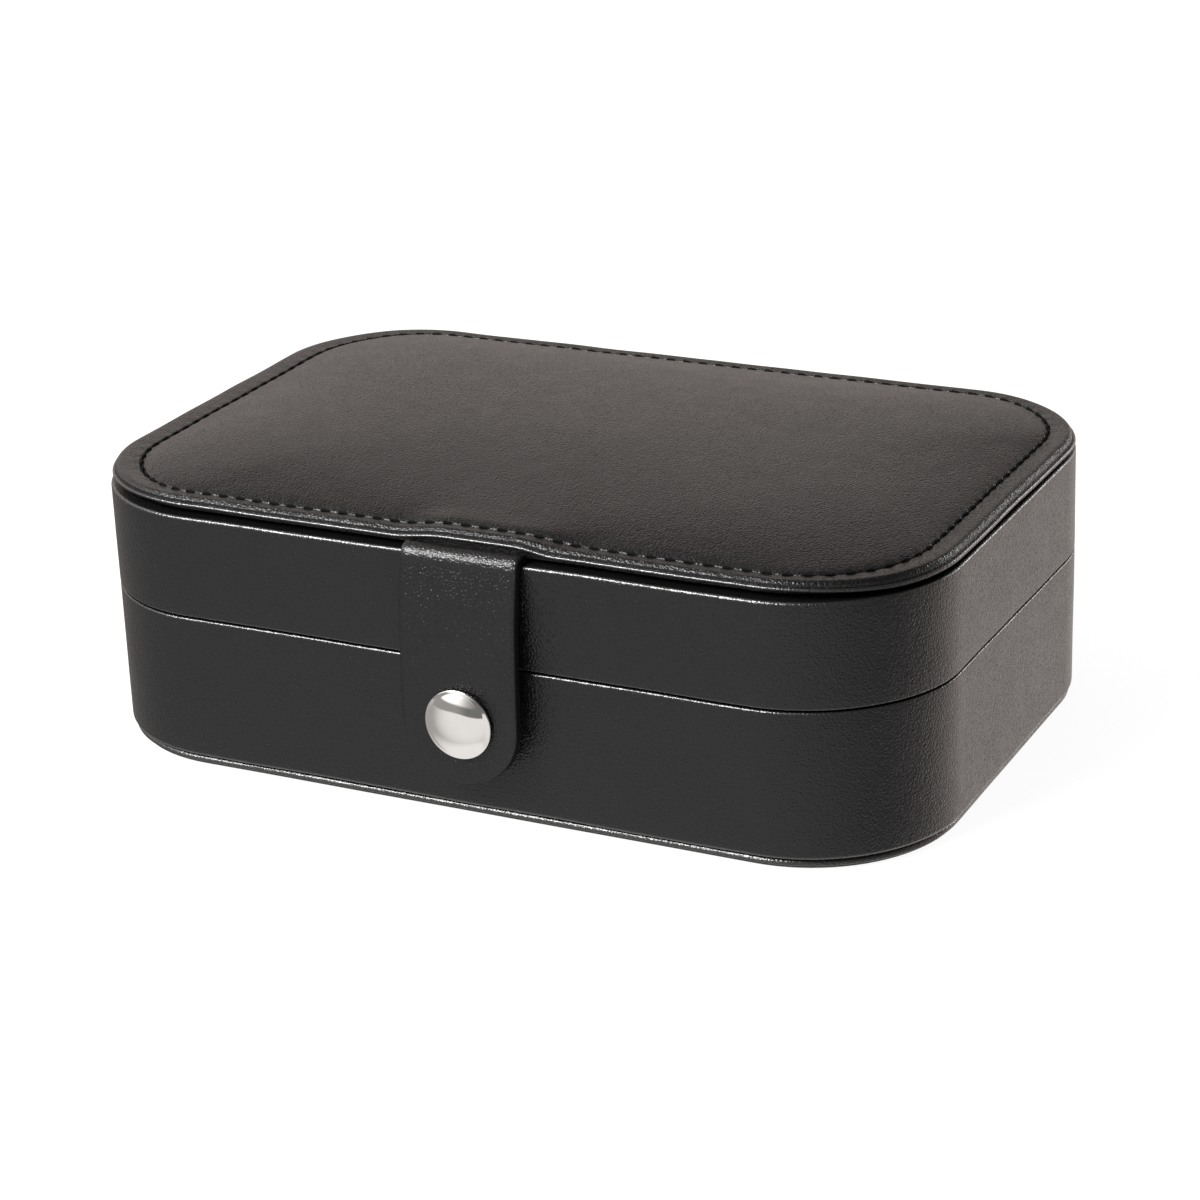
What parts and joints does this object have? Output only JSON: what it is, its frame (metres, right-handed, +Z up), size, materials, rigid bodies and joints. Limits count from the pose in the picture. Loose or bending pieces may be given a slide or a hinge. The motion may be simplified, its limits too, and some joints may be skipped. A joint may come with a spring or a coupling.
{
  "type": "jewelry gift box",
  "caption": "Low rounded rectangular jewelry box in black leatherette: padded stitched lid hinged at the back, front strap with a metal snap, velvet-lined trays and ring rolls inside.",
  "frame": {"origin": "centre of the flat underside, on the surface that the box stands on", "axes": "+Z up through the lid, +X along the long side to the right as seen from the strap, and the strap with its snap at the -Y side"},
  "size_m": [0.16, 0.1139, 0.054],
  "materials": {
    "leather": "black fine-grained leatherette, satin",
    "board": "uncoated greyboard",
    "velvet": "short charcoal velvet",
    "foam": "open-cell foam",
    "thread": "bonded black sewing thread",
    "elastic": "woven black elastic",
    "nickel": "polished nickel plate"
  },
  "bodies": {
    "base": {"bottom_board": "leather", "base_wrap": "leather", "base_frame": "board", "floor_board": "board", "base_lining": "velvet", "floor_lining": "velvet", "ring_roll_1": "velvet", "ring_roll_2": "velvet", "ring_roll_3": "velvet", "ring_roll_4": "velvet", "ring_roll_5": "velvet", "ring_roll_6": "velvet", "ring_partition": "velvet", "divider_long": "velvet", "divider_cross": "velvet", "snap_stud": "nickel", "snap_eyelet": "nickel", "hinge_spine_base": "leather", "hinge_gusset_base": "velvet"},
    "lid": {"lid_wrap": "leather", "lid_frame": "board", "lid_top_board": "board", "lid_lining": "velvet", "lid_ceiling": "velvet", "hook_bar": "velvet", "necklace_hook_1": "nickel", "necklace_hook_2": "nickel", "necklace_hook_3": "nickel", "necklace_hook_4": "nickel", "necklace_hook_5": "nickel", "lid_pocket": "velvet", "pocket_elastic": "elastic", "panel_spacer": "board", "panel_card": "board", "panel_foam": "foam", "panel_cover": "leather", "seam_thread": "thread", "hinge_spine_lid": "leather", "hinge_gusset_lid": "velvet", "strap_root": "leather"},
    "strap": {"strap_lining": "leather", "strap_outer": "leather", "snap_cap": "nickel", "snap_socket": "nickel"}
  },
  "joints": [
    {"name": "lid_hinge", "type": "hinge", "parent": "base", "child": "lid", "pos_m": [0, 0.05435, 0.02845], "axis": [-1, 0, 0], "range_deg": [0, 105]},
    {"name": "strap_flex", "type": "hinge", "parent": "lid", "child": "strap", "pos_m": [0.002, -0.05385, 0.0473], "axis": [-1, 0, 0], "range_deg": [0, 100]}
  ]
}
